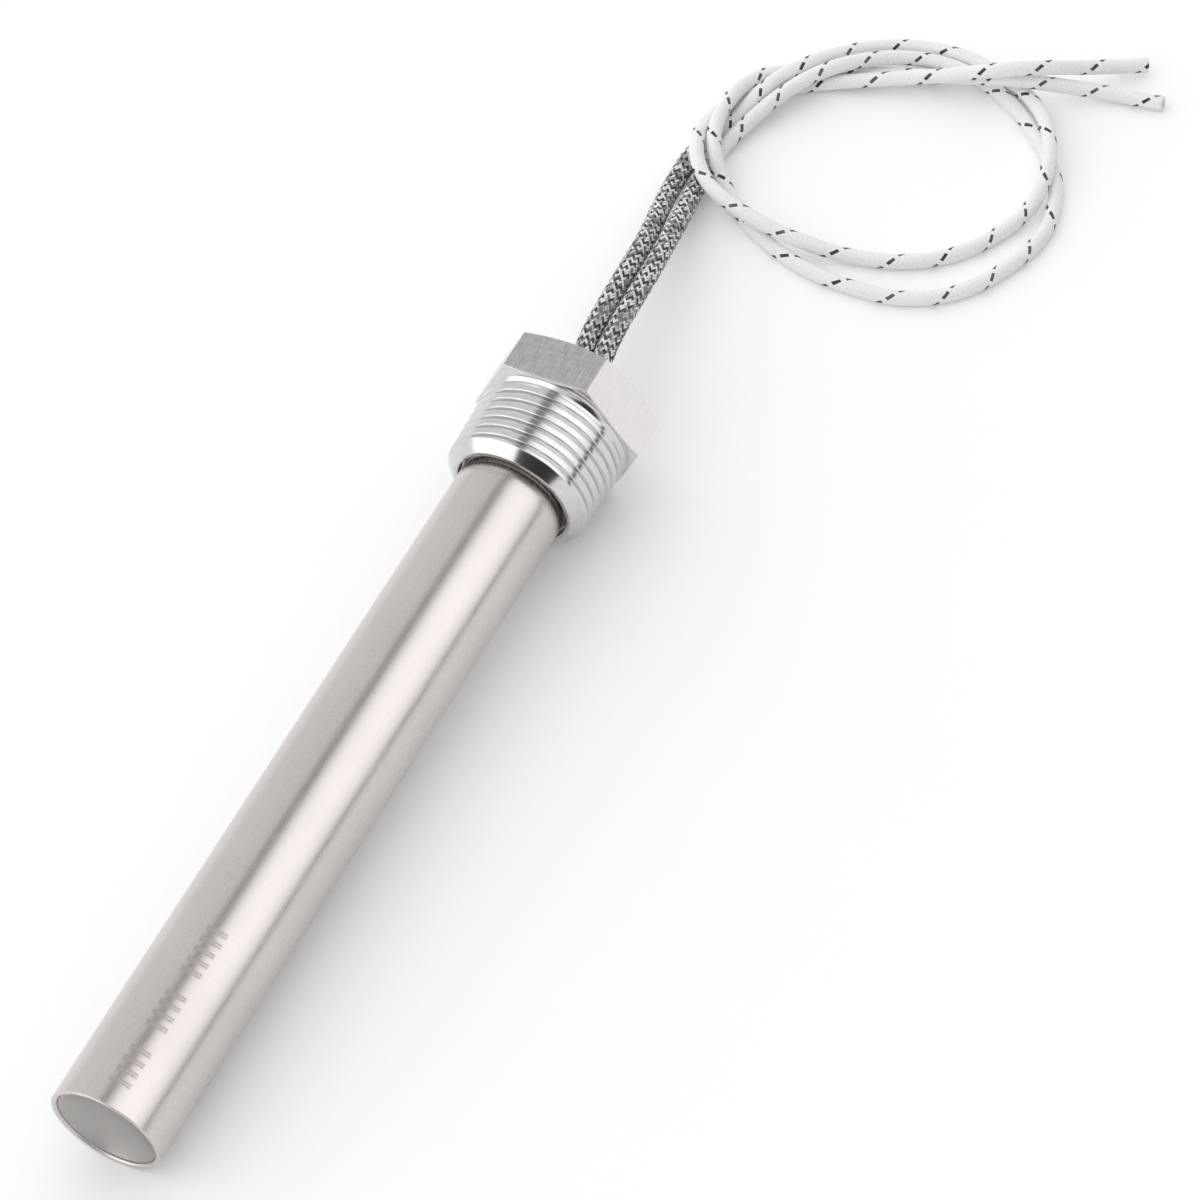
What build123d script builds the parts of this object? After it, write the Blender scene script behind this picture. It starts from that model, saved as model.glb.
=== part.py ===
from build123d import *
import math
import os

# Cartridge heater with a screw-in plug, lying on a level surface, in millimetres.
# The heater's own axis runs from the closed tip to the leads. Its zero is the shoulder of
# the plug, where the thread meets the hexagon, and that is the origin of the model.

# Sheath, turned down a little from just outside the plug to its open end
sheath_diameter = 20.0
sheath_wall = 1.0
seat_depth = 0.2
seat_reach = 0.4
tip_reach = 152.5
open_end_recess = 0.6
rim_round = 0.2
inner_rim_round = 0.4

# Dished disc that closes the tip
disc_thickness = 1.2
disc_inset = 0.35
dish_radius = 15.0

# Taper thread of the plug, at its crests
thread_diameter = 26.6
thread_length = 15.7
thread_taper = 16.0
nose_land = 1.25
nose_length = 1.0
relief_width = 1.2
relief_depth = 0.5

# Hexagon of the plug
hexagon_flats = 28.0
hexagon_height = 9.2
chamfer_angle = 20.0
front_chamfer_diameter = 27.7
back_chamfer_diameter = 27.4
mouth_chamfer = 0.6

# Ceramic core, its winding, the powder round it and the pins that feed it
cold_zone = 38.0
fill_wall = 2.1
washer_thickness = 2.0
winding_margin = 4.0
winding_turns = 7.5
ribbon_width = 1.5
ribbon_thickness = 0.25
pin_diameter = 1.6
pin_spacing = 4.0
long_pin_setback = 1.0
short_pin_depth = 12.0
bush_length = 5.0

# Joints between the pins and the leads
insulator_length = 20.0
insulator_bore = 2.9
insulator_wall = 0.35
crimp_length = 11.0
crimp_wall = 0.5
crimp_offset = 4.0
pin_grip = 4.5
conductor_grip = 4.5

# Leads, their braided sleeves and the cement that holds them
lead_diameter = 2.8
lead_start = 5.5
sleeve_bore = 3.0
sleeve_wall = 0.35
sleeve_lengths = (83.0, 81.0)
potting_length = 11.0
potting_recess = 0.6

# Clearances
sheath_fit = 0.05
plug_fit = 0.05
core_fit = 0.05
pin_fit = 0.05
crimp_fit = 0.05
sleeve_fit = 0.05
stack_gap = 0.05

# Route of each lead beyond the plug: x, y, height of its centre above the surface
first_route = [
    (22.5, 4.6, 14.6), (36.0, 6.0, 13.0), (49.8, 8.2, 9.6), (63.5, 12.7, 3.8),
    (78.0, 14.3, 1.9), (86.9, 11.0, 1.1), (95.0, 8.0, 4.8), (103.0, 2.5, 5.4),
    (112.0, -3.5, 2.4), (116.5, -11.0, 1.4), (118.0, -21.0, 1.4), (115.5, -31.0, 1.4),
    (109.5, -41.5, 2.8), (98.5, -48.5, 5.0), (89.0, -50.0, 2.8), (82.0, -47.5, 1.4),
    (73.5, -42.5, 1.4), (67.5, -34.5, 1.6), (65.0, -23.5, 1.4), (63.5, -13.0, 3.6),
    (64.5, -3.0, 5.2), (67.5, 6.0, 6.0), (73.9, 11.9, 7.0), (85.1, 15.5, 3.0),
    (93.8, 11.5, 1.4), (100.0, 3.5, 1.4), (103.5, -5.0, 2.4), (106.5, -14.0, 3.6),
    (109.0, -23.0, 5.4), (110.5, -32.5, 9.0), (115.9, -40.5, 7.4), (122.2, -46.3, 3.4),
    (127.5, -54.0, 1.8),
]
second_route = [
    (23.0, 0.8, 14.4), (36.0, 2.0, 12.8), (49.9, 4.3, 9.8), (63.2, 8.0, 4.2),
    (76.1, 10.5, 1.5), (85.5, 8.5, 2.4), (94.5, 4.5, 4.4), (102.5, -1.0, 5.4),
    (109.5, -8.5, 4.4), (114.5, -16.5, 1.8), (114.0, -25.5, 1.6), (110.0, -35.0, 1.4),
    (103.5, -43.5, 1.4), (95.5, -51.0, 1.4), (83.5, -54.5, 1.4), (73.5, -51.5, 1.4),
    (65.0, -46.5, 1.4), (59.5, -38.0, 1.4), (58.5, -27.5, 1.4), (59.5, -16.5, 1.4),
    (64.0, -5.0, 1.4), (71.0, 4.5, 2.0), (76.5, 9.5, 6.0), (84.5, 12.5, 5.4),
    (95.0, 12.0, 4.8), (103.0, 6.5, 1.6), (106.0, -2.5, 1.4), (109.0, -12.5, 1.4),
    (111.0, -22.0, 2.6), (111.5, -32.5, 5.8), (114.9, -41.5, 4.2), (118.9, -50.2, 1.4),
    (120.0, -60.5, 1.4),
]
exit_reach = 8.5

# Sizes that follow
sheath_radius = sheath_diameter / 2
bore_radius = sheath_radius - sheath_wall
fill_radius = bore_radius - sheath_fit
seat_radius = sheath_radius - seat_depth
plug_bore_radius = seat_radius + plug_fit
shoulder_radius = thread_diameter / 2 + thread_length / thread_taper / 2
chamfer_slope = math.tan(math.radians(chamfer_angle))
sheath_end = hexagon_height - open_end_recess
pin_hole_radius = pin_diameter / 2 + pin_fit
fill_bore = fill_radius - fill_wall
winding_radius = fill_bore - core_fit - ribbon_thickness / 2
core_radius = winding_radius - ribbon_thickness / 2 - core_fit

# The heater rests on the front edge of the lower flat and on the rim of its tip
flat_edge = (hexagon_flats - front_chamfer_diameter) / 2 * chamfer_slope
rest_span = tip_reach - rim_round + flat_edge
tilt = math.atan((hexagon_flats / 2 - sheath_radius) / rest_span)
surface = flat_edge * math.sin(tilt) - hexagon_flats / 2 * math.cos(tilt)


def turned(*points):
    # Solid of revolution about the heater's axis, from points (along the axis, radius)
    return revolve(make_face(Polyline(*points, close=True)), axis=Axis.X)


def bar(start, end, outer_radius, bore=0.0, offset=0.0):
    # Round bar or tube along the axis, set sideways by an offset
    shape = turned((start, bore), (end, bore), (end, outer_radius), (start, outer_radius))
    return Pos(0, offset, 0) * shape


def cap(sphere_radius, centre, depth_end, radius):
    # Solid from a sphere's face to a flat end further along the axis
    edge = centre + math.sqrt(sphere_radius**2 - radius**2)
    middle = (radius / 2, centre + math.sqrt(sphere_radius**2 - radius**2 / 4))
    arc = ThreePointArc((centre + sphere_radius, 0), (middle[1], middle[0]), (edge, radius))
    rest = Polyline((edge, radius), (depth_end, radius), (depth_end, 0), (centre + sphere_radius, 0))
    return revolve(make_face([arc, rest]), axis=Axis.X)


def placed(along, sideways):
    # Point on the tilted heater
    return Vector(along * math.cos(tilt), sideways, along * math.sin(tilt))


# Sheath
seat_start = -thread_length - seat_reach
sheath = turned(
    (-tip_reach, bore_radius),
    (sheath_end, bore_radius),
    (sheath_end, seat_radius),
    (seat_start, seat_radius),
    (seat_start, sheath_radius),
    (-tip_reach, sheath_radius),
)
tip_edges = sheath.edges().filter_by(GeomType.CIRCLE).group_by(Axis.X)[0].sort_by(SortBy.RADIUS)
sheath = fillet(tip_edges[-1], rim_round)
tip_edges = sheath.edges().filter_by(GeomType.CIRCLE).group_by(Axis.X)[0].sort_by(SortBy.RADIUS)
sheath = fillet(tip_edges[0], inner_rim_round)

# Dished end disc
disc_rim = -tip_reach + disc_inset
dish_centre = disc_rim - math.sqrt(dish_radius**2 - fill_radius**2)
disc_back_radius = dish_radius + disc_thickness
disc_back = dish_centre + disc_back_radius
disc_limit = disc_back + stack_gap + washer_thickness
end_disc = cap(dish_radius, dish_centre, disc_limit, fill_radius)
end_disc -= cap(disc_back_radius, dish_centre, disc_limit, fill_radius)

# Plug
crest_at_nose = thread_diameter / 2 + nose_length / thread_taper / 2
crest_at_relief = shoulder_radius - relief_width / thread_taper / 2
thread = turned(
    (-thread_length, 0),
    (-thread_length, plug_bore_radius + nose_land),
    (nose_length - thread_length, crest_at_nose),
    (-relief_width, crest_at_relief),
    (-relief_width, shoulder_radius - relief_depth),
    (0, shoulder_radius - relief_depth),
    (0, 0),
)
front_radius = front_chamfer_diameter / 2
back_radius = back_chamfer_diameter / 2
chamfer_radius = hexagon_flats
chamfers = turned(
    (0, 0),
    (0, front_radius),
    ((chamfer_radius - front_radius) * chamfer_slope, chamfer_radius),
    (hexagon_height - (chamfer_radius - back_radius) * chamfer_slope, chamfer_radius),
    (hexagon_height, back_radius),
    (hexagon_height, 0),
)
hexagon = Plane.YZ * RegularPolygon(hexagon_flats / 2, 6, major_radius=False)
threaded_plug = thread + (extrude(hexagon, hexagon_height) & chamfers)
mouth_radius = plug_bore_radius + mouth_chamfer
threaded_plug -= turned(
    (-thread_length - 1, 0),
    (-thread_length - 1, plug_bore_radius),
    (hexagon_height - mouth_chamfer, plug_bore_radius),
    (hexagon_height, mouth_radius),
    (hexagon_height, 0),
)

# Washer, core and end bush, stacked between the disc and the cold zone
washer_back = disc_limit
tip_washer = cap(disc_back_radius + stack_gap, dish_centre, washer_back, fill_radius)
core_start = washer_back + stack_gap
core_end = -cold_zone
bush_start = core_end + stack_gap
bush_end = bush_start + bush_length
side = pin_spacing / 2
ceramic_core = bar(core_start, core_end, core_radius)
end_bush = bar(bush_start, bush_end, fill_radius)
for offset in (side, -side):
    ceramic_core -= bar(core_start - 1, core_end + 1, pin_hole_radius, 0, offset)
    end_bush -= bar(bush_start - 1, bush_end + 1, pin_hole_radius, 0, offset)

# Flat ribbon wound on the core, from the long pin's side to the short pin's
winding_start = core_start + winding_margin
winding_length = core_end - winding_margin - winding_start
helix = Helix(winding_length / winding_turns, winding_length, winding_radius,
              center=(winding_start, 0, 0), direction=(1, 0, 0))
first = helix @ 0
helix = Rot(math.degrees(-math.atan2(first.Z, first.Y)), 0, 0) * helix


def across(position, direction):
    # Plane across the ribbon, with its first direction outwards from the heater's axis
    return Plane(position, x_dir=(0, position.Y, position.Z), z_dir=direction)


def tail(position, direction, clearance):
    # The ribbon's end turned in along the radius to its pin, or its slot in the core
    inner = side + pin_diameter / 2 + core_fit - clearance
    outer = winding_radius + ribbon_thickness / 2 + clearance
    section = Rectangle(outer - inner, ribbon_width + 2 * clearance)
    section = Pos((outer + inner) / 2 - winding_radius, 0) * section
    plane = across(position - direction * clearance, direction)
    return extrude(plane * section, ribbon_thickness + 2 * clearance)


ribbon_section = across(helix @ 0, helix % 0) * Rectangle(ribbon_thickness, ribbon_width)
resistance_ribbon = sweep(ribbon_section, helix, is_frenet=True)
for position, direction in ((helix @ 0, -(helix % 0)), (helix @ 1, helix % 1)):
    resistance_ribbon += tail(position, direction, 0)
    ceramic_core -= tail(position, direction, core_fit)

# Powder packed between the winding and the sheath
magnesia_fill = bar(core_start, core_end, fill_radius, fill_bore)

# Pins, crimps, conductors and insulating tubes, one set for each lead
insulator_start = bush_end + stack_gap
crimp_start = insulator_start + crimp_offset
crimp_end = crimp_start + crimp_length
crimp_bore = pin_hole_radius
crimp_radius = crimp_bore + crimp_wall
insulator_radius = insulator_bore / 2 + insulator_wall
pin_end = crimp_start + pin_grip
terminal_pin_long = bar(core_start + long_pin_setback, pin_end, pin_diameter / 2, 0, side)
terminal_pin_short = bar(core_end - short_pin_depth, pin_end, pin_diameter / 2, 0, -side)
crimps = [bar(crimp_start, crimp_end, crimp_radius, crimp_bore, s) for s in (side, -side)]
insulators = [
    bar(insulator_start, insulator_start + insulator_length, insulator_radius,
        insulator_bore / 2, s)
    for s in (side, -side)
]
conductors = [
    bar(crimp_end - conductor_grip, -lead_start, crimp_bore - crimp_fit, 0, s)
    for s in (side, -side)
]

# Cement round the sleeves in the open end
sleeve_radius = sleeve_bore / 2 + sleeve_wall
potting_end = sheath_end - potting_recess
potting_start = potting_end - potting_length
potting = bar(potting_start, potting_end, fill_radius)


def corner_radii(points):
    # Each arc takes 0.45 of the shorter run beside its corner
    runs = [b - a for a, b in zip(points, points[1:])]
    radii = []
    for before, after in zip(runs, runs[1:]):
        half_turn = math.radians(before.get_angle(after)) / 2
        radii.append(0.45 * min(before.length, after.length) / math.tan(half_turn))
    return radii


def swept(path, section):
    return sweep(Plane(path @ 0, z_dir=path % 0) * section, path)


resting = Rot(0, -math.degrees(tilt), 0)
potting = resting * potting
leads = []
sleeves = []
routes = (first_route, second_route)
for name, offset, route, sleeve_length in zip(("lead_1", "lead_2"), (side, -side), routes, sleeve_lengths):
    points = [placed(-lead_start, offset), placed(exit_reach, offset)]
    points += [Vector(x, y, surface + height) for x, y, height in route]
    radii = corner_radii(points)
    print(name, "radii", " ".join(f"{radius:.1f}" for radius in radii))
    path = FilletPolyline(*points, radius=radii)
    leads.append(swept(path, Circle(lead_diameter / 2)))
    sleeve_begin = (lead_start + potting_start) / path.length
    sleeve_path = path.trim(sleeve_begin, sleeve_begin + sleeve_length / path.length)
    sleeves.append(swept(sleeve_path, Circle(sleeve_radius) - Circle(sleeve_bore / 2)))
    potting -= swept(path.trim(0, sleeve_length / path.length), Circle(sleeve_radius + sleeve_fit))

heater = {
    "sheath": sheath,
    "end_disc": end_disc,
    "threaded_plug": threaded_plug,
    "tip_washer": tip_washer,
    "ceramic_core": ceramic_core,
    "resistance_ribbon": resistance_ribbon,
    "magnesia_fill": magnesia_fill,
    "terminal_pin_long": terminal_pin_long,
    "terminal_pin_short": terminal_pin_short,
    "end_bush": end_bush,
    "crimp_1": crimps[0],
    "crimp_2": crimps[1],
    "conductor_1": conductors[0],
    "conductor_2": conductors[1],
    "insulator_1": insulators[0],
    "insulator_2": insulators[1],
}
pieces = {name: resting * shape for name, shape in heater.items()}
pieces["potting"] = potting
pieces["sleeve_1"], pieces["sleeve_2"] = sleeves
pieces["lead_1"], pieces["lead_2"] = leads

os.makedirs("parts", exist_ok=True)
for name, shape in pieces.items():
    export_step(shape, f"parts/{name}.step")
print("tilt", round(math.degrees(tilt), 4), "surface", round(surface, 4))
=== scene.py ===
import math
import bpy
import numpy as np
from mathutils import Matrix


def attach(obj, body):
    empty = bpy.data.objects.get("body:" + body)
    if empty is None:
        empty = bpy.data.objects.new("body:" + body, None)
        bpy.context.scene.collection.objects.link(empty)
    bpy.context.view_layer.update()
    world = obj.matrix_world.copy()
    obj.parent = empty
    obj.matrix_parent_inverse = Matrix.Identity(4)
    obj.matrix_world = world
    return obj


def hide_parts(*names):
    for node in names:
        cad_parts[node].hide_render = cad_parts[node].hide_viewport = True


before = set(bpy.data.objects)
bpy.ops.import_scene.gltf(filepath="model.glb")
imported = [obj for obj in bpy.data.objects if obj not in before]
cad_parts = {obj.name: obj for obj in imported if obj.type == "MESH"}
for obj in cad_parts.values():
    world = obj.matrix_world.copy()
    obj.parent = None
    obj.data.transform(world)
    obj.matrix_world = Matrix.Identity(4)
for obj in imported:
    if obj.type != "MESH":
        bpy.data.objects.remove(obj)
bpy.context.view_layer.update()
scene = bpy.context.scene
scene.view_settings.view_transform = "Standard"
print("frame loaded")

# The heater lies on the floor turned by this much about Y, with its zero at the plug's shoulder
resting = {"tilt": math.radians(1.5039), "floor": -0.0139937}


def laidDown(along, side, up):
    # (along cos t - up sin t, side, along sin t + up cos t): the heater's own axes to the scene's
    c, s = math.cos(resting["tilt"]), math.sin(resting["tilt"])
    return np.stack([along * c - up * s, side + 0 * along, along * s + up * c], -1)


# Camera
photoCamera = {
    "place": (-0.464899, -0.348976, 0.671861),
    "turn": (38.39855, 6.93891, -61.98595),
    "lens": 154.065,
    "sensor": 36.0,
}
cameraData = bpy.data.cameras.new("photoCamera")
cameraData.lens = photoCamera["lens"]
cameraData.sensor_width = photoCamera["sensor"]
camera = bpy.data.objects.new("photoCamera", cameraData)
camera.location = photoCamera["place"]
camera.rotation_euler = [math.radians(a) for a in photoCamera["turn"]]
scene.collection.objects.link(camera)
scene.camera = camera


# Meshes and nodes
def gridFaces(rows, columns, rowsClosed=False):
    # Four-sided faces of a grid whose columns run round and close; rows close too on request
    r = np.arange(rows if rowsClosed else rows - 1)[:, None]
    c = np.arange(columns)[None, :]
    n, m = (r + 1) % rows, (c + 1) % columns
    quads = np.stack([r * columns + c, r * columns + m, n * columns + m, n * columns + c], -1)
    return quads.reshape(-1, 4)


def poleFaces(rowStart, columns, pole, ahead):
    # Triangles from one ring to a point on its axis
    c = np.arange(columns)
    a, b = rowStart + c, rowStart + (c + 1) % columns
    return np.stack([a, b, np.full(columns, pole)] if ahead else [b, a, np.full(columns, pole)], -1)


def meshPiece(name, points, faces, materials, smooth=True, faceSlots=None):
    # One object at the origin from whole arrays of points and faces
    mesh = bpy.data.meshes.new(name)
    mesh.from_pydata(np.asarray(points, float).reshape(-1, 3).tolist(), [], [f.tolist() for f in faces])
    mesh.polygons.foreach_set("use_smooth", np.full(len(mesh.polygons), smooth))
    for material in materials:
        mesh.materials.append(material)
    if faceSlots is not None:
        mesh.polygons.foreach_set("material_index", np.asarray(faceSlots, np.int32))
    mesh.update()
    piece = bpy.data.objects.new(name, mesh)
    scene.collection.objects.link(piece)
    return piece


def ringCoordinates(piece, values, columns, jump):
    # UV per face corner from values (rows, columns + 1, 2); the last column is the first one round again
    mesh = piece.data
    corners = np.zeros(len(mesh.loops), np.int32)
    mesh.loops.foreach_get("vertex_index", corners)
    starts = np.zeros(len(mesh.polygons), np.int32)
    counts = np.zeros(len(mesh.polygons), np.int32)
    mesh.polygons.foreach_get("loop_start", starts)
    mesh.polygons.foreach_get("loop_total", counts)
    faceOf = np.repeat(np.arange(len(starts)), counts)
    row, column = corners // columns, corners % columns
    row = np.minimum(row, values.shape[0] - 1)
    highest = np.maximum.reduceat(column, starts)[faceOf]
    wraps = (column == 0) & (highest > 1)
    uv = values[row, np.where(wraps, columns, column)]
    layer = mesh.uv_layers.new(name="weave" if jump else "skin")
    layer.data.foreach_set("uv", uv.astype(np.float32).ravel())


class Finish:
    # A new material's node tree, or the world's, with short ways to add and join nodes
    def __init__(self, name, tree=None):
        if tree is None:
            self.material = bpy.data.materials.new(name)
            self.material.use_nodes = True
            tree = self.material.node_tree
            self.shader = tree.nodes["Principled BSDF"]
        self.tree = tree

    def node(self, kind, **settings):
        made = self.tree.nodes.new(kind)
        for key, value in settings.items():
            setattr(made, key, value)
        return made

    def give(self, socket, value):
        if isinstance(value, bpy.types.NodeSocket):
            self.tree.links.new(value, socket)
        elif isinstance(value, tuple) and len(value) == 3 and socket.type == "RGBA":
            socket.default_value = (*value, 1)
        else:
            socket.default_value = value

    def math(self, operation, *values, clamp=False):
        made = self.node("ShaderNodeMath", operation=operation, use_clamp=clamp)
        for socket, value in zip(made.inputs, values):
            self.give(socket, value)
        return made.outputs[0]

    def ramp(self, value, low, high, start=0.0, end=1.0, smooth=True):
        made = self.node("ShaderNodeMapRange", interpolation_type="SMOOTHSTEP" if smooth else "LINEAR")
        values = {"Value": value, "From Min": low, "From Max": high, "To Min": start, "To Max": end}
        for key, given in values.items():
            self.give(made.inputs[key], given)
        return made.outputs[0]

    def blend(self, share, first, second, kind="MIX"):
        made = self.node("ShaderNodeMix", data_type="RGBA", blend_type=kind)
        self.give(made.inputs[0], share)
        self.give(made.inputs[6], first)
        self.give(made.inputs[7], second)
        return made.outputs[2]

    def place(self, source="Object", scale=(1, 1, 1), turn=(0, 0, 0)):
        coordinates = self.node("ShaderNodeTexCoord")
        mapping = self.node("ShaderNodeMapping")
        mapping.inputs["Scale"].default_value = scale
        mapping.inputs["Rotation"].default_value = turn
        self.tree.links.new(coordinates.outputs[source], mapping.inputs["Vector"])
        return mapping.outputs[0]

    def noise(self, vector, scale, detail=2.0, rough=0.5):
        made = self.node("ShaderNodeTexNoise")
        self.give(made.inputs["Vector"], vector)
        made.inputs["Scale"].default_value = scale
        made.inputs["Detail"].default_value = detail
        made.inputs["Roughness"].default_value = rough
        return made.outputs[0]

    def bump(self, height, strength, distance):
        made = self.node("ShaderNodeBump")
        made.inputs["Strength"].default_value = strength
        made.inputs["Distance"].default_value = distance
        self.give(made.inputs["Height"], height)
        self.give(self.shader.inputs["Normal"], made.outputs[0])

    def skin(self, **values):
        sockets = {"colour": "Base Color", "rough": "Roughness", "metal": "Metallic"}
        for key, value in values.items():
            self.give(self.shader.inputs[sockets[key]], value)


# Finishes
def brushedSteel(name, colour, rough, grain, stretch):
    # Steel whose colour, roughness and fine bump follow noise drawn out along the part
    finish = Finish(name)
    lines = finish.noise(finish.place(scale=stretch), grain, 3.0, 0.6)
    clouds = finish.noise(finish.place(), 60.0, 3.0)
    mixed = finish.math("ADD", finish.math("MULTIPLY", clouds, 0.5), finish.math("MULTIPLY", lines, 0.5))
    dark = tuple(0.94 * c for c in colour)
    finish.skin(colour=finish.blend(finish.ramp(mixed, 0.35, 0.65), dark, colour), metal=1.0,
                rough=finish.ramp(lines, 0.25, 0.75, rough - 0.03, rough + 0.03))
    finish.bump(lines, 0.1, 0.000004)
    return finish


etchedStrokes = {  # metres along the tube from the plug's shoulder and round it from the top
    "groups": ((-0.1489, 4), (-0.1377, 4), (-0.1267, 5)),  # where each starts and how many bars it has
    "step": 0.00205,
    "low": 0.0007, "high": 0.0045, "soft": 0.00012,
    "grainLow": -0.0022, "grainHigh": 0.0002,
}


def sheathFinish():
    # Drawn tube, grainy along one side, with the etched strokes near its tip
    finish = brushedSteel("sheathSteel", (0.645, 0.6, 0.585), 0.27, 5000.0, (0.04, 1, 1))
    skin = finish.node("ShaderNodeSeparateXYZ")
    finish.give(skin.inputs[0], finish.node("ShaderNodeTexCoord").outputs["UV"])
    along, round_ = skin.outputs[0], skin.outputs[1]
    specks = finish.noise(finish.place(), 2600.0, 3.0, 0.7)
    low, high = etchedStrokes["grainLow"], etchedStrokes["grainHigh"]
    zone = finish.math("MULTIPLY", finish.ramp(round_, low, low + 0.0006),
                       finish.ramp(round_, high, high + 0.0012, 1.0, 0.0))
    grainy = finish.math("MULTIPLY", zone, finish.ramp(specks, 0.42, 0.62, 0.0, 0.5))
    # strokes: short bars across the tube, in three groups
    bars = None
    for low, count in etchedStrokes["groups"]:
        place = finish.math("DIVIDE", finish.math("SUBTRACT", along, low), etchedStrokes["step"])
        off = finish.math("ABSOLUTE", finish.math("SUBTRACT", finish.math("FRACT", place), 0.5))
        bar = finish.math("MULTIPLY", finish.ramp(off, 0.17, 0.27, 1.0, 0.0),
                          finish.ramp(off, 0.05, 0.12, 0.45, 1.0))
        inside = finish.math("MULTIPLY", finish.math("GREATER_THAN", place, 0.0),
                             finish.math("LESS_THAN", place, float(count)))
        bar = finish.math("MULTIPLY", bar, inside)
        bars = bar if bars is None else finish.math("ADD", bars, bar)
    low, high, soft = etchedStrokes["low"], etchedStrokes["high"], etchedStrokes["soft"]
    band = finish.math("MULTIPLY", finish.ramp(round_, low - soft, low + soft),
                       finish.ramp(round_, high - soft, high + soft, 1.0, 0.0))
    worn = finish.ramp(finish.noise(finish.place(), 3400.0, 3.0, 0.8), 0.36, 0.56, 0.25, 1.0)
    etched = finish.math("MULTIPLY", bars, finish.math("MULTIPLY", band, worn))
    plain = finish.shader.inputs["Base Color"].links[0].from_socket
    colour = finish.blend(grainy, plain, (0.52, 0.5, 0.49))
    colour = finish.blend(finish.math("MULTIPLY", etched, 0.75), colour, (0.36, 0.3, 0.265))
    even = finish.shader.inputs["Roughness"].links[0].from_socket
    finish.skin(colour=colour, rough=finish.math("ADD", even, finish.math("MULTIPLY", etched, 0.25)))
    return finish.material


def plainFinish(name, colour, rough, metal, scale, strength):
    # One colour broken up by noise, for pieces that are seldom seen
    finish = Finish(name)
    lumps = finish.noise(finish.place(), scale, 4.0, 0.6)
    dark = tuple(0.8 * c for c in colour)
    finish.skin(colour=finish.blend(finish.ramp(lumps, 0.3, 0.7), dark, colour), metal=metal, rough=rough)
    finish.bump(lumps, strength, 0.0001)
    return finish.material


# Cords
leadSizes = {"diameter": 0.0028, "sleeveDiameter": 0.0037, "sleeveBore": 0.003, "exit": 0.0085}
leadRoutes = {
    "lead_1": [
        (-0.00550, 0.00200, -0.00014), (0.00850, 0.00200, 0.00022), (0.02250, 0.00460, 0.00061),
        (0.03600, 0.00600, -0.00099), (0.04980, 0.00820, -0.00439), (0.06350, 0.01270, -0.01019),
        (0.07800, 0.01430, -0.01209), (0.08690, 0.01100, -0.01289), (0.09500, 0.00800, -0.00919),
        (0.10300, 0.00250, -0.00859), (0.11200, -0.00350, -0.01159), (0.11650, -0.01100, -0.01259),
        (0.11800, -0.02100, -0.01259), (0.11550, -0.03100, -0.01259), (0.10950, -0.04150, -0.01119),
        (0.09850, -0.04850, -0.00899), (0.08900, -0.05000, -0.01119), (0.08200, -0.04750, -0.01259),
        (0.07350, -0.04250, -0.01259), (0.06750, -0.03450, -0.01239), (0.06500, -0.02350, -0.01259),
        (0.06350, -0.01300, -0.01039), (0.06450, -0.00300, -0.00879), (0.06750, 0.00600, -0.00799),
        (0.07390, 0.01190, -0.00699), (0.08510, 0.01550, -0.01099), (0.09380, 0.01150, -0.01259),
        (0.10000, 0.00350, -0.01259), (0.10350, -0.00500, -0.01159), (0.10650, -0.01400, -0.01039),
        (0.10900, -0.02300, -0.00859), (0.11050, -0.03250, -0.00499), (0.11590, -0.04050, -0.00659),
        (0.12220, -0.04630, -0.01059), (0.12750, -0.05400, -0.01219),
    ],
    "lead_2": [
        (-0.00550, -0.00200, -0.00014), (0.00850, -0.00200, 0.00022), (0.02300, 0.00080, 0.00041),
        (0.03600, 0.00200, -0.00119), (0.04990, 0.00430, -0.00419), (0.06320, 0.00800, -0.00979),
        (0.07610, 0.01050, -0.01249), (0.08550, 0.00850, -0.01159), (0.09450, 0.00450, -0.00959),
        (0.10250, -0.00100, -0.00859), (0.10950, -0.00850, -0.00959), (0.11450, -0.01650, -0.01219),
        (0.11400, -0.02550, -0.01239), (0.11000, -0.03500, -0.01259), (0.10350, -0.04350, -0.01259),
        (0.09550, -0.05100, -0.01259), (0.08350, -0.05450, -0.01259), (0.07350, -0.05150, -0.01259),
        (0.06500, -0.04650, -0.01259), (0.05950, -0.03800, -0.01259), (0.05850, -0.02750, -0.01259),
        (0.05950, -0.01650, -0.01259), (0.06400, -0.00500, -0.01259), (0.07100, 0.00450, -0.01199),
        (0.07650, 0.00950, -0.00799), (0.08450, 0.01250, -0.00859), (0.09500, 0.01200, -0.00919),
        (0.10300, 0.00650, -0.01239), (0.10600, -0.00250, -0.01259), (0.10900, -0.01250, -0.01259),
        (0.11100, -0.02200, -0.01139), (0.11150, -0.03250, -0.00819), (0.11490, -0.04150, -0.00979),
        (0.11890, -0.05020, -0.01259), (0.12000, -0.06050, -0.01259),
    ],
}
leadBraid = {
    "strands": 10,  # each way
    "pitch": 0.00975,
    "dash": 0.62,  # share of four crossings that the dark strand lies on top
    "relief": 0.00007,
    "columns": 60,
    "smoothness": 36,  # points read between two of the route's points
}
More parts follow.
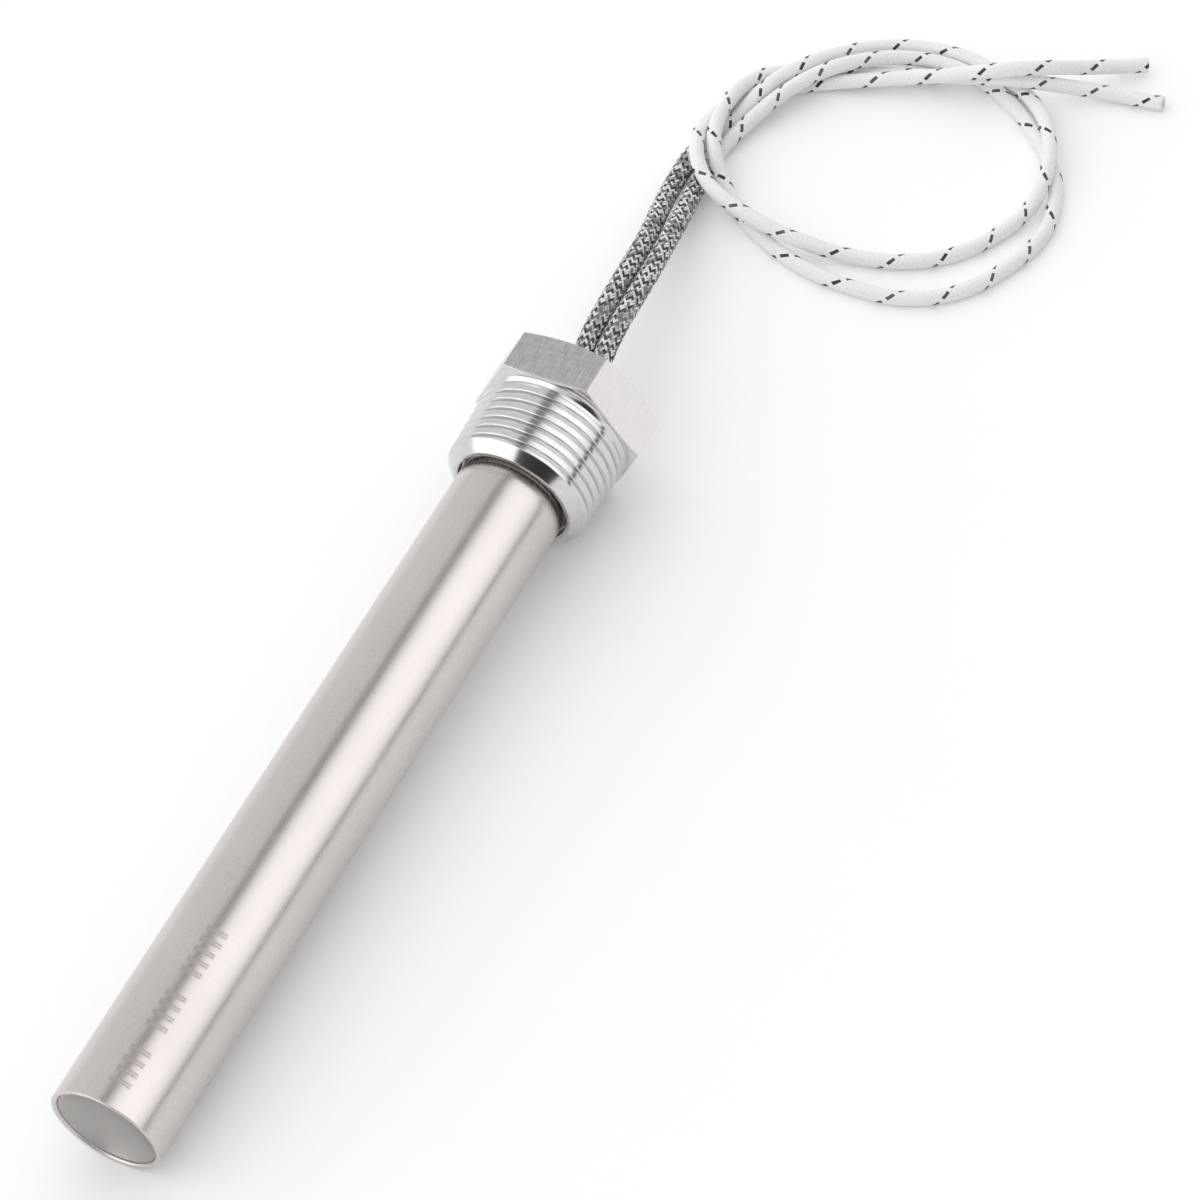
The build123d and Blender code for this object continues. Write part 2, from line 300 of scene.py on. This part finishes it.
dashPlaces = {  # millimetres along each lead where the dark strand faces upwards, with its turn number
    "lead_1": [
        (94.5, 0), (102.9, 1), (112.0, 2), (121.8, 3), (131.5, 4), (140.8, 5), (151.0, 6), (161.5, 7),
        (174.0, 8), (184.7, 9), (192.5, 10), (200.7, 11), (209.8, 12), (219.0, 13), (229.5, 14), (239.9, 15),
        (250.1, 16), (259.3, 17), (311.3, 22), (321.8, 23), (332.7, 24), (342.5, 25), (353.4, 26), (363.9, 27),
    ],
    "lead_2": [
        (93.4, 0), (102.6, 1), (111.9, 2), (121.0, 3), (130.8, 4), (139.7, 5), (148.6, 6), (159.6, 7),
        (171.0, 8), (183.1, 9), (191.8, 10), (200.6, 11), (209.4, 12), (219.0, 13), (229.3, 14), (240.9, 15),
        (252.0, 16), (263.4, 17), (271.7, 18), (345.7, 26), (355.3, 27), (365.3, 28),
    ],
}


def readLine(name, points, smoothness):
    # Points along the NURBS line whose control points are the route's points
    curve = bpy.data.curves.new(name, "CURVE")
    curve.dimensions = "3D"
    curve.resolution_u = smoothness
    spline = curve.splines.new("NURBS")
    spline.points.add(len(points) - 1)
    spline.points.foreach_set("co", np.c_[points, np.ones(len(points))].ravel())
    spline.order_u = 3
    spline.use_endpoint_u = True
    holder = bpy.data.objects.new(name, curve)
    scene.collection.objects.link(holder)
    mesh = bpy.data.meshes.new_from_object(holder)
    line = np.zeros(len(mesh.vertices) * 3)
    mesh.vertices.foreach_get("co", line)
    bpy.data.objects.remove(holder)
    return line.reshape(-1, 3)


def alongLine(line):
    # Distance of each point from the start
    return np.r_[0, np.cumsum(np.linalg.norm(np.diff(line, axis=0), axis=1))]


def crossSections(line):
    # Upward and rightward directions across the line: up is world Z with its share along the line taken off
    ahead = np.gradient(line, axis=0)
    ahead /= np.linalg.norm(ahead, axis=1)[:, None]
    up = np.array([0, 0, 1.0]) - ahead * ahead[:, 2:]
    up /= np.linalg.norm(up, axis=1)[:, None]
    return ahead, up, np.cross(ahead, up)


def braidHeight(u, v, strands):
    # Two over two under: a strand swells as a half wave across it, and along the two crossings it covers
    across, other = strands * u, strands * v
    first, second = np.floor(across), np.floor(other)
    runFirst = ((other + first) / 4) % 1
    runSecond = ((across + second - 2) / 4) % 1
    over = runFirst < 0.5
    crown = np.sin(np.pi * (np.where(over, across, other) % 1))
    swell = np.sin(np.pi * np.clip(np.where(over, runFirst, runSecond) / 0.5, 0, 1))
    return np.sqrt(np.abs(crown)) * (0.35 + 0.65 * np.abs(swell)), over


def ringsRound(centres, up, right, size, angle):
    # Each centre plus size times (up times the cosine + right times the sine) of the angles round it
    out = up[:, None] * np.cos(angle)[None, :, None] + right[:, None] * np.sin(angle)[None, :, None]
    return centres[:, None] + size * out


def braidedTube(name, line, radius, turnsLeft, turnsRight, braid, materials, bore=None):
    # Rings round the line, swollen by the braid; its strands have turned turnsLeft and turnsRight at each point
    ahead, up, right = crossSections(line)
    columns = braid["columns"]
    angle = np.linspace(-np.pi, np.pi, columns + 1)
    u = angle / (2 * np.pi) + turnsLeft[:, None]
    v = angle / (2 * np.pi) - turnsRight[:, None]
    height, _ = braidHeight(u, v, braid["strands"])
    size = radius - braid["relief"] * (1 - height[:, :columns])
    round_ = angle[:columns]
    rings = ringsRound(line, up, right, size[..., None], round_)
    uv = np.stack([u, v], -1)
    rows = [rings.reshape(-1, 3)]
    faces = [gridFaces(len(line), columns)]
    slots = [np.zeros(len(faces[0]), int)]
    if bore is None:
        # flat cut ends: two more rings and a pole at each end
        count = len(line) * columns
        extra, capFaces, capSlots = [], [], []
        for end, sign in ((0, -1), (len(line) - 1, 1)):
            centre = line[end] + ahead[end] * sign * 0.00004
            previous = end * columns
            for share, depth, slot in ((0.93, 0.0, 0), (0.5, -0.00005, 0), (0.47, -0.0001, 1)):
                middle = centre + ahead[end] * sign * depth
                ring = ringsRound(middle[None], up[end][None], right[end][None], share * radius, round_)[0]
                start = count + sum(len(e) for e in extra)
                extra.append(ring)
                c = np.arange(columns)
                m = (c + 1) % columns
                quad = np.stack([previous + c, previous + m, start + m, start + c], -1)
                capFaces.append(quad if sign > 0 else quad[:, ::-1])
                capSlots.append(np.full(columns, slot))
                previous = start
            pole = count + sum(len(e) for e in extra)
            extra.append((centre + ahead[end] * sign * 0.00002)[None])
            capFaces.append(poleFaces(previous, columns, pole, sign > 0))
            capSlots.append(np.full(columns, 1))
        rows += extra
        faces += capFaces
        slots += capSlots
    else:
        inner = ringsRound(line, up, right, bore, round_)
        start = len(line) * columns
        rows.append(inner.reshape(-1, 3))
        faces.append(gridFaces(len(line), columns)[:, ::-1] + start)
        slots.append(np.zeros(len(faces[1]), int))
        c = np.arange(columns)
        m = (c + 1) % columns
        last = (len(line) - 1) * columns
        faces.append(np.stack([c + start, m + start, m, c], -1))
        faces.append(np.stack([last + c, last + m, start + last + m, start + last + c], -1))
        slots += [np.zeros(columns, int)] * 2
        uv = np.concatenate([uv, uv])
    allFaces = [f for group in faces for f in group]
    piece = meshPiece(name, np.concatenate(rows), allFaces, materials, True, np.concatenate(slots))
    ringCoordinates(piece, uv, columns, True)
    return piece


def braidMask(finish, strands):
    # The same two over two under rule in nodes: strand numbers each way, which is on top, and where across it
    split = finish.node("ShaderNodeSeparateXYZ")
    finish.give(split.inputs[0], finish.node("ShaderNodeTexCoord").outputs["UV"])
    across = finish.math("MULTIPLY", split.outputs[0], float(strands))
    other = finish.math("MULTIPLY", split.outputs[1], float(strands))
    first, second = finish.math("FLOOR", across), finish.math("FLOOR", other)
    crossing = finish.math("ADD", finish.math("ADD", other, first), 4000.0)
    runFirst = finish.math("FRACT", finish.math("DIVIDE", crossing, 4.0))
    over = finish.math("LESS_THAN", runFirst, 0.5)
    firstPlace = finish.math("FRACT", finish.math("ADD", across, 4000.0))
    otherPlace = finish.math("FRACT", finish.math("ADD", other, 4000.0))
    place = finish.math("ADD", otherPlace,
                        finish.math("MULTIPLY", over, finish.math("SUBTRACT", firstPlace, otherPlace)))
    edge = finish.math("ABSOLUTE", finish.math("SUBTRACT", place, 0.5))
    return {"across": across, "other": other, "first": first, "second": second, "runFirst": runFirst,
            "over": over, "firstPlace": firstPlace, "place": place, "edge": edge}


def leadFinish():
    # White glass braid: fine strands, soft shade between them, one dark strand shown as dashes
    finish = Finish("leadBraidWhite")
    weave = braidMask(finish, leadBraid["strands"])
    threads = finish.math("SINE", finish.math("MULTIPLY", weave["place"], 31.0))
    fibre = finish.noise(finish.place(), 2200.0, 3.0, 0.6)
    white = finish.blend(finish.ramp(fibre, 0.3, 0.7), (0.85, 0.835, 0.825), (0.93, 0.915, 0.905))
    white = finish.blend(finish.ramp(weave["edge"], 0.28, 0.5, 1.0, 0.7), (0.66, 0.64, 0.63), white)
    whole = finish.math("MODULO", finish.math("ADD", weave["first"], 12000.0), float(leadBraid["strands"]))
    dark = finish.math("MULTIPLY", finish.math("LESS_THAN", whole, 0.5),
                       finish.math("LESS_THAN", weave["runFirst"], leadBraid["dash"]))
    offCentre = finish.math("ABSOLUTE", finish.math("SUBTRACT", weave["firstPlace"], 0.5))
    ragged = finish.math("MULTIPLY", finish.math("SUBTRACT", fibre, 0.5), 0.2)
    fuzzy = finish.ramp(finish.math("ADD", offCentre, ragged), 0.42, 0.52, 1.0, 0.0)
    fading = finish.ramp(finish.noise(finish.place(), 320.0, 1.0), 0.4, 0.65)
    thread = finish.blend(fading, (0.03, 0.028, 0.027), (0.12, 0.115, 0.11))
    finish.skin(colour=finish.blend(finish.math("MULTIPLY", dark, fuzzy), white, thread), rough=0.72, metal=0.0)
    finish.shader.inputs["Specular IOR Level"].default_value = 0.35
    finish.shader.inputs["Sheen Weight"].default_value = 0.15
    finish.bump(finish.math("ADD", finish.math("MULTIPLY", threads, 0.3), fibre), 0.35, 0.00004)
    return finish.material


sleeveBraid = {"strands": 20, "pitch": 0.017, "relief": 0.00017, "columns": 100, "smoothness": 46}


def sleeveFinish():
    # Yarns: one strand in two dark one way, one in four the other, and each stretch has its own shade
    finish = Finish("sleeveBraidMixed")
    weave = braidMask(finish, sleeveBraid["strands"])
    fine = finish.noise(finish.place(), 4200.0, 2.0, 0.7)

    def chance(strand, other, shift):
        # one random number for each stretch of a strand that lies on top
        stretchOf = finish.math("ADD", finish.math("ADD", other, strand), 4000.0 - shift)
        corner = finish.node("ShaderNodeCombineXYZ")
        finish.give(corner.inputs[0], finish.math("ADD", strand, shift))
        finish.give(corner.inputs[1], finish.math("FLOOR", finish.math("DIVIDE", stretchOf, 4.0)))
        made = finish.node("ShaderNodeTexWhiteNoise", noise_dimensions="2D")
        finish.give(made.inputs["Vector"], corner.outputs[0])
        return finish.math("ADD", finish.math("MULTIPLY", made.outputs[0], 0.75),
                           finish.math("MULTIPLY", fine, 0.5))

    def isDark(strand, every):
        # one strand in so many
        within = finish.math("MODULO", finish.math("ADD", strand, 16000.0), float(every))
        return finish.math("LESS_THAN", within, 0.5)

    light, pale, dusk, black = (0.84, 0.83, 0.81), (0.3, 0.29, 0.28), (0.2, 0.19, 0.185), (0.02, 0.019, 0.018)
    chanceOne = chance(weave["first"], weave["other"], 0.0)
    chanceTwo = chance(weave["second"], weave["across"], 2.0)
    lightOne = finish.blend(finish.ramp(chanceOne, 0.35, 0.75), pale, light)
    darkOne = finish.blend(finish.ramp(chanceOne, 0.55, 0.95), black, dusk)
    lightTwo = finish.blend(finish.ramp(chanceTwo, 0.3, 0.8), dusk, light)
    darkTwo = finish.blend(finish.ramp(chanceTwo, 0.5, 0.9), black, dusk)
    one = finish.blend(isDark(weave["first"], 2), lightOne, darkOne)
    two = finish.blend(isDark(weave["second"], 4), lightTwo, darkTwo)
    colour = finish.blend(weave["over"], two, one)
    # painted shade: each yarn darkens towards near black at its edges, where it passes under the crossing yarns
    colour = finish.blend(finish.ramp(weave["edge"], 0.3, 0.5, 0.0, 0.75), colour, (0.03, 0.028, 0.026))
    finish.skin(colour=colour, rough=0.65, metal=0.0)
    finish.bump(fine, 0.5, 0.00008)
    return finish.material


whiteBraid = leadFinish()
mixedBraid = sleeveFinish()
conductorEnd = plainFinish("conductorEnd", (0.62, 0.58, 0.52), 0.4, 1.0, 3000.0, 0.6)
for name, points in leadRoutes.items():
    line = readLine(name + "Line", np.array(points), leadBraid["smoothness"])
    along = alongLine(line)
    ahead, up, right = crossSections(line)
    toCamera = np.array(photoCamera["place"]) - line
    facing = np.unwrap(np.arctan2((toCamera * right).sum(1), (toCamera * up).sum(1))) / (2 * np.pi)
    places, turns = np.array(dashPlaces[name]).T
    rate = 1 / (leadBraid["pitch"] * 1000)
    count = np.interp(along * 1000, places, turns)
    count = np.where(along * 1000 < places[0], turns[0] - (places[0] - along * 1000) * rate, count)
    count = np.where(along * 1000 > places[-1], turns[-1] + (along * 1000 - places[-1]) * rate, count)
    turnsLeft = count + 0.5 / leadBraid["strands"] - facing
    turnsRight = count + facing - 4 * leadBraid["dash"] / 2 / leadBraid["strands"]
    tube = braidedTube(name + "_braid", line, leadSizes["diameter"] / 2, turnsLeft, turnsRight, leadBraid,
                       [whiteBraid, conductorEnd])
    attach(tube, "root")
    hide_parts(name)
    print(name, "line", round(along[-1], 4))
print("leads made")

# Each sleeve's lead, where along it the sleeve starts, and the sleeve's length
sleeveSpans = {"sleeve_1": ("lead_1", 0.0025, 0.083), "sleeve_2": ("lead_2", 0.0025, 0.081)}
for name, (other, first, length) in sleeveSpans.items():
    line = readLine(name + "Line", np.array(leadRoutes[other]), sleeveBraid["smoothness"])
    along = alongLine(line)
    part = (along >= first) & (along <= first + length)
    turns = along[part] / sleeveBraid["pitch"]
    outside, bore = leadSizes["sleeveDiameter"] / 2, leadSizes["sleeveBore"] / 2
    sleeve = braidedTube(name + "_braid", line[part], outside, turns, turns, sleeveBraid, [mixedBraid], bore)
    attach(sleeve, "root")
    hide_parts(name)
    tube = bpy.data.objects[other + "_braid"]
print("sleeves made")


# Sheath and end disc
tubeSizes = {
    "radius": 0.010, "bore": 0.009, "tip": -0.1525, "seat": 0.0098, "seatStart": -0.0161, "openEnd": 0.0086,
    "rim": 0.00025, "innerRim": 0.0006, "columns": 288, "rows": 40,
}
discSizes = {"rim": -0.15215, "dish": 0.015, "thickness": 0.0012, "radius": 0.00895, "rows": 28, "columns": 192}


def arcOf(centreX, centreR, radius, start, end, count):
    # Points (x, r) on a circle's arc, angles from the heater's axis towards the outside
    a = np.radians(np.linspace(start, end, count))
    return np.stack([centreX + radius * np.cos(a), centreR + radius * np.sin(a)], -1)


def turnedPiece(name, profile, columns, materials, closed=True):
    # Surface of revolution: the profile's (x, r) carried round the heater's axis, from the top towards -Y
    angle = np.linspace(-np.pi, np.pi, columns + 1)
    x, r = profile[:, 0], profile[:, 1]
    ring = angle[None, :-1]
    points = laidDown(x[:, None] + 0 * ring, -r[:, None] * np.sin(ring), r[:, None] * np.cos(ring))
    faces = list(gridFaces(len(profile), columns, closed))
    vertices = points.reshape(-1, 3)
    if not closed:
        # both ends of the profile lie on the axis: one point each
        ends = laidDown(np.array([x[0], x[-1]]), np.zeros(2), np.zeros(2))
        faces = [f for f in gridFaces(len(profile) - 2, columns)]
        vertices = np.concatenate([points[1:-1].reshape(-1, 3), ends])
        count = (len(profile) - 2) * columns
        faces += list(poleFaces(0, columns, count, False))
        faces += list(poleFaces(count - columns, columns, count + 1, True))
    piece = meshPiece(name, vertices, faces, materials)
    if closed:
        uv = np.stack([x[:, None] + 0 * angle, tubeSizes["radius"] * angle[None] + 0 * x[:, None]], -1)
        ringCoordinates(piece, uv, columns, False)
    return piece


t = tubeSizes
outside = np.linspace(t["seatStart"] - 0.00003, t["tip"] + t["rim"], t["rows"])
sheathProfile = np.concatenate([
    [(t["openEnd"], t["bore"]), (t["openEnd"], t["bore"] + 0.0001)],
    [(t["openEnd"], t["seat"] - 0.0001), (t["openEnd"], t["seat"])],
    [(t["seatStart"] + 0.0001, t["seat"]), (t["seatStart"], t["seat"])],
    [(t["seatStart"], t["radius"] - 0.00003)],
    np.stack([outside, np.full(t["rows"], t["radius"])], -1),
    arcOf(t["tip"] + t["rim"], t["radius"] - t["rim"], t["rim"], 100, 180, 7),
    arcOf(t["tip"] + t["innerRim"], t["bore"] + t["innerRim"], t["innerRim"], 180, 270, 10),
    [(t["tip"] + 0.003, t["bore"]), (-0.1, t["bore"]), (0, t["bore"]), (t["openEnd"] - 0.0001, t["bore"])],
])
sheath = turnedPiece("sheath_tube", sheathProfile, t["columns"], [sheathFinish()])
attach(sheath, "root")
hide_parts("sheath")

d = discSizes
centre = d["rim"] - math.sqrt(d["dish"]**2 - d["radius"]**2)
inner = np.linspace(0, d["radius"], d["rows"])
frontFace = np.stack([centre + np.sqrt(d["dish"]**2 - inner**2), inner], -1)
backFace = np.stack([centre + np.sqrt((d["dish"] + d["thickness"])**2 - inner[::-1]**2), inner[::-1]], -1)
discSteel = brushedSteel("discSteel", (0.43, 0.415, 0.405), 0.36, 1800.0, (1, 1, 1)).material
discProfile = np.concatenate([frontFace, backFace])
disc = turnedPiece("end_disc_dished", discProfile, d["columns"], [discSteel], closed=False)
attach(disc, "root")
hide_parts("end_disc")
print("sheath and disc made")


# Plug
plugSizes = {
    "bore": 0.00985, "threadLength": 0.0157, "shoulder": 0.01379,
    "taper": 32.0, "pitch": 0.002, "crest": 0.00105, "flank": 0.00042, "depth": 0.0007, "phase": 0.05,
    "foot": 0.0113, "chamfer": 0.0018, "mouthRadius": 0.01052, "mouthDepth": 0.0016, "ring": 0.0006,
    "reliefWidth": 0.0012,
    "flats": 0.014, "height": 0.0092, "front": 0.01385, "back": 0.0137, "slope": math.tan(math.radians(20)),
    "mouth": 0.0006, "sharpness": 500.0, "edge": 0.00007, "threadRows": 190,
}


def hexagonRadius(angle, flats, sharpness):
    # Distance to the nearest flat, eased at the corners: flats / (sum of cos(angle - flat)^p)^(1/p)
    away = angle[:, None] - np.radians(np.arange(6) * 60.0)[None, :]
    return flats / (np.clip(np.cos(away), 1e-9, None)**sharpness).sum(1)**(1 / sharpness)


def threadRadius(x, angle, p):
    # Taper of the crests less a trapezoid groove whose phase runs on by one pitch a turn, right-handed
    phase = ((x - p["pitch"] * angle / (2 * np.pi)) / p["pitch"] + p["phase"]) % 1
    away = np.abs(phase - 0.5) * p["pitch"]
    low = (p["pitch"] - p["crest"]) / 2 - p["flank"]
    groove = 1 - np.clip((away - low) / p["flank"], 0, 1)
    return p["shoulder"] + x / p["taper"] - p["depth"] * groove


def plugPiece(name, p, materials):
    offsets = np.array([0.0, 0.3, 0.6, 1.0, 1.5, 2.1, 2.9, 3.9, 5.1, 6.5, 8.1,
                        9.9, 11.9, 14.1, 16.5, 19.1, 21.9, 24.7, 27.4])
    sector = np.concatenate([offsets, 60 - offsets[:0:-1], [30.0]])
    sector.sort()
    angle = np.radians((30 + np.arange(6)[:, None] * 60 + sector[None]).ravel())
    radius = hexagonRadius(angle, p["flats"], p["sharpness"])
    whole = np.ones_like(angle)
    backX = p["height"] - (radius - p["back"]) * p["slope"]
    frontX = (radius - p["front"]) * p["slope"]
    e = p["edge"]
    rows = []

    def row(x, r):
        rows.append((x * whole, r * whole))

    row(p["height"] - p["mouth"], p["bore"])
    row(p["height"] - 0.00003, p["bore"] + p["mouth"] - 0.00003)
    row(p["height"], p["bore"] + p["mouth"] + 0.00003)
    for r in np.linspace(p["bore"] + p["mouth"] + 0.0003, p["back"] - 0.0004, 6):
        row(p["height"], r)
    row(p["height"], p["back"] - e)
    row(p["height"] - 0.00001, p["back"])
    for share in (0.08, 0.35, 0.65, 0.92):
        row(p["height"] + (backX - p["height"]) * share, p["back"] + (radius - p["back"]) * share)
    long = frontX - backX
    row(backX, radius)
    row(backX - e, radius)
    for share in np.linspace(0.06, 0.94, 12):
        row(backX + long * share, radius)
    row(frontX + e, radius)
    row(frontX, radius)
    for share in (0.92, 0.65, 0.35, 0.08):
        row(frontX * share, p["front"] + (radius - p["front"]) * share)
    row(0.00001, p["front"])
    # the shoulder is a ring at half a right angle, down to the groove before the thread
    low = p["front"] - p["ring"]
    for share in (0.05, 0.5, 0.95, 1.0):
        row(-p["ring"] * share, p["front"] - p["ring"] * share)
    row(-p["ring"] - e, low)
    row(-p["reliefWidth"] + e, low)
    start, end = -p["reliefWidth"], -p["threadLength"]
    noseTop = p["shoulder"] + (end + p["chamfer"]) / p["taper"]
    for x in np.linspace(start, end, p["threadRows"]):
        cone = p["foot"] + (noseTop - p["foot"]) * (x - end) / p["chamfer"]
        runIn = low + (start - x) * 1.4
        row(x, np.minimum(np.minimum(threadRadius(x, angle, p), cone), np.maximum(runIn, low)))
    row(end, p["foot"] - e)
    row(end, p["mouthRadius"] + e)
    row(end + e, p["mouthRadius"])
    row(end + p["mouthDepth"] - e, p["mouthRadius"])
    row(end + p["mouthDepth"], p["mouthRadius"] - e)
    row(end + p["mouthDepth"], p["bore"])
    for x in np.linspace(end + p["mouthDepth"] + 0.0005, p["height"] - p["mouth"] - 0.001, 5):
        row(x, p["bore"])
    x, r = np.array([a for a, b in rows]), np.array([b for a, b in rows])
    points = laidDown(x, -r * np.sin(angle)[None], r * np.cos(angle)[None])
    return meshPiece(name, points, list(gridFaces(len(rows), len(angle), True)), materials)


def plugFinish():
    # Turned thread and nose, brighter and smoother; flats brushed along the axis, with scratches and nicks, and
    # painted shade on the flat that lies upwards
    finish = Finish("plugSteel")
    split = finish.node("ShaderNodeSeparateXYZ")
    finish.give(split.inputs[0], finish.place())
    flat = finish.math("GREATER_THAN", split.outputs[0], 0.0003)
    turnedLines = finish.noise(finish.place(scale=(1, 0.05, 0.05)), 9000.0, 2.0, 0.6)
    brushed = finish.noise(finish.place(scale=(0.05, 1, 1)), 6500.0, 3.0, 0.65)
    crossed = finish.noise(finish.place(scale=(1, 0.04, 0.3), turn=(0, 0, 0.25)), 5200.0, 3.0, 0.7)
    deep = finish.noise(finish.place(scale=(0.1, 1, 1), turn=(0, 0, 0.5)), 1500.0, 3.0, 0.6)
    nicks = finish.ramp(deep, 0.66, 0.72)
    marks = finish.math("ADD", finish.math("MULTIPLY", brushed, 0.6), finish.math("MULTIPLY", crossed, 0.4))
    # painted shade: the flat that lies upwards is coloured darker than the others: nothing else reaches as high
    # from the axis
    leaning = finish.math("MULTIPLY", split.outputs[0], resting["tilt"])
    upward = finish.math("SUBTRACT", split.outputs[2], leaning)
    shadedUpwardFlat = finish.math("MULTIPLY", flat, finish.math("GREATER_THAN", upward, plugSizes["flats"] - 0.0001))
    # painted shade: the upward flat gets a darker copy of the flats' colour, with its nicks on it
    shadedTopColour = finish.blend(finish.ramp(marks, 0.38, 0.62), (0.42, 0.405, 0.4), (0.6, 0.585, 0.575))
    shadedTopColour = finish.blend(finish.math("MULTIPLY", nicks, 0.5), shadedTopColour, (0.24, 0.23, 0.225))
    sideColour = finish.blend(finish.ramp(marks, 0.3, 0.7), (0.74, 0.715, 0.71), (0.84, 0.815, 0.81))
    flatColour = finish.blend(shadedUpwardFlat, sideColour, shadedTopColour)
    turnedColour = finish.blend(finish.ramp(turnedLines, 0.35, 0.65), (0.62, 0.605, 0.595), (0.7, 0.685, 0.675))
    flatRough = finish.math("MULTIPLY", flat, finish.ramp(marks, 0.3, 0.7, 0.42, 0.3))
    finish.skin(colour=finish.blend(flat, turnedColour, flatColour), metal=1.0,
                rough=finish.math("ADD", 0.14, flatRough))
    height = finish.math("ADD", finish.math("MULTIPLY", flat, marks), finish.math("MULTIPLY", turnedLines, 0.1))
    finish.bump(height, 0.3, 0.00001)
    return finish.material


plug = plugPiece("plug_turned", plugSizes, [plugFinish()])
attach(plug, "root")
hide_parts("threaded_plug")
print("plug made")


# Pieces inside, carried over from the solids
# Nodes, then the finish they share: its name, colour, roughness, metal, grain and depth of bump
insideFinishes = [
    (["potting"], ("cement", (0.72, 0.7, 0.66), 0.9, 0.0, 900.0, 0.6)),
    (["ceramic_core", "tip_washer", "end_bush"], ("ceramic", (0.83, 0.81, 0.76), 0.6, 0.0, 700.0, 0.3)),
    (["magnesia_fill"], ("powder", (0.8, 0.79, 0.77), 0.95, 0.0, 1800.0, 0.8)),
    (["resistance_ribbon"], ("windingAlloy", (0.42, 0.39, 0.36), 0.45, 1.0, 1500.0, 0.3)),
    (["terminal_pin_long", "terminal_pin_short"], ("pinNickel", (0.62, 0.6, 0.56), 0.35, 1.0, 1500.0, 0.3)),
    (["crimp_1", "crimp_2"], ("crimpMetal", (0.7, 0.69, 0.68), 0.35, 1.0, 1500.0, 0.3)),
    (["conductor_1", "conductor_2"], ("copperStrand", (0.72, 0.42, 0.3), 0.35, 1.0, 2500.0, 0.6)),
    (["insulator_1", "insulator_2"], ("insulatorWeave", (0.78, 0.76, 0.7), 0.8, 0.0, 2500.0, 0.7)),
]
for nodes, look in insideFinishes:
    material = plainFinish(*look)
    for node in nodes:
        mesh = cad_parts[node].data
        if not mesh.materials:
            mesh.materials.append(material)
        for i in range(len(mesh.materials)):
            mesh.materials[i] = material


# Floor, studio and world
studio = {"floor": (0.93, 0.93, 0.93), "half": 1.6, "lift": 0.09}
half, level = studio["half"], resting["floor"]
floorFinish = Finish("floorWhite")
grain = floorFinish.noise(floorFinish.place(), 40.0, 2.0)
paler = tuple(0.99 * c for c in studio["floor"])
floorFinish.skin(colour=floorFinish.blend(grain, studio["floor"], paler), rough=0.9, metal=0.0)
floorFinish.shader.inputs["Specular IOR Level"].default_value = 0.0
floorFinish.shader.inputs["Emission Color"].default_value = (1, 1, 1, 1)
floorPath = floorFinish.node("ShaderNodeLightPath")
floorSeen = floorFinish.math("ADD", floorPath.outputs["Is Camera Ray"], floorPath.outputs["Is Glossy Ray"])
floorSeen = floorFinish.math("ADD", floorSeen, floorPath.outputs["Is Transmission Ray"], clamp=True)
floorFinish.give(floorFinish.shader.inputs["Emission Strength"],
                 floorFinish.math("MULTIPLY", floorSeen, studio["lift"]))
corners = [(-half, -half, level), (half, -half, level), (half, half, level), (-half, half, level)]
floor = meshPiece("floor", corners, [np.arange(4)], [floorFinish.material], False)

# Radiance by the angle from straight up towards -Y, in degrees: what metal mirrors, and what lights the rest
mirroredStops = [(-180, 0.86), (-14, 0.86), (-9, 0.3), (2, 0.3), (5, 0.9), (13, 1.3), (24, 1.52), (56, 1.54),
                 (68, 1.38), (76, 1.24), (82, 1.12), (84, 0.15), (91, 0.15), (94, 0.85), (180, 0.86)]
lightingStops = [(-180, 1.25), (-30, 1.25), (10, 1.0), (60, 0.5), (100, 0.45), (180, 1.25)]
# Cards by the angle from -X towards +Y: start, end, height and radiance
sideCards = {"white": (11, 66, 0.85, 1.6), "black": (-38, 9, 0.45, 0.04)}


def studioWorld():
    # A dome whose radiance follows the stops above, with two cards towards -X that only metal mirrors
    world = bpy.data.worlds.new("studio")
    scene.world = world
    world.use_nodes = True
    back = world.node_tree.nodes["Background"]
    sky = Finish("sky", world.node_tree)
    split = sky.node("ShaderNodeSeparateXYZ")
    sky.give(split.inputs[0], sky.node("ShaderNodeTexCoord").outputs["Generated"])
    x, y, z = split.outputs[0], split.outputs[1], split.outputs[2]
    turn = sky.math("ARCTAN2", sky.math("MULTIPLY", y, -1.0), z)
    place = sky.math("ADD", sky.math("DIVIDE", turn, 2 * math.pi), 0.5)

    def stops(values):
        # half levels on the ramp, doubled after it, because a ramp holds none above 1
        ramp = sky.node("ShaderNodeValToRGB")
        elements = ramp.color_ramp.elements
        while len(elements) > 1:
            elements.remove(elements[-1])
        for i, (degrees, level) in enumerate(values):
            element = elements[0] if i == 0 else elements.new(degrees / 360 + 0.5)
            element.position = degrees / 360 + 0.5
            element.color = (level / 2, level / 2, level / 2, 1)
        sky.give(ramp.inputs[0], place)
        return sky.math("MULTIPLY", ramp.outputs[0], 2.0)

    mirrored = sky.blend(sky.ramp(x, -0.45, -0.05), (0.86, 0.86, 0.86), stops(mirroredStops))
    side = sky.math("ARCTAN2", y, sky.math("MULTIPLY", x, -1.0))
    for start, end, height, radiance in sideCards.values():
        inside = sky.math("MULTIPLY", sky.ramp(side, math.radians(start - 1), math.radians(start + 1)),
                          sky.ramp(side, math.radians(end - 1), math.radians(end + 1), 1.0, 0.0))
        inside = sky.math("MULTIPLY", inside, sky.ramp(z, height - 0.03, height + 0.03, 1.0, 0.0))
        mirrored = sky.blend(inside, mirrored, (radiance, radiance, radiance))
    path = sky.node("ShaderNodeLightPath")
    light = sky.blend(path.outputs["Is Glossy Ray"], stops(lightingStops), mirrored)
    sky.give(back.inputs["Color"], sky.blend(path.outputs["Is Camera Ray"], light, (1.0, 1.0, 1.0)))
    back.inputs["Strength"].default_value = 1.0


studioWorld()
print("studio made")
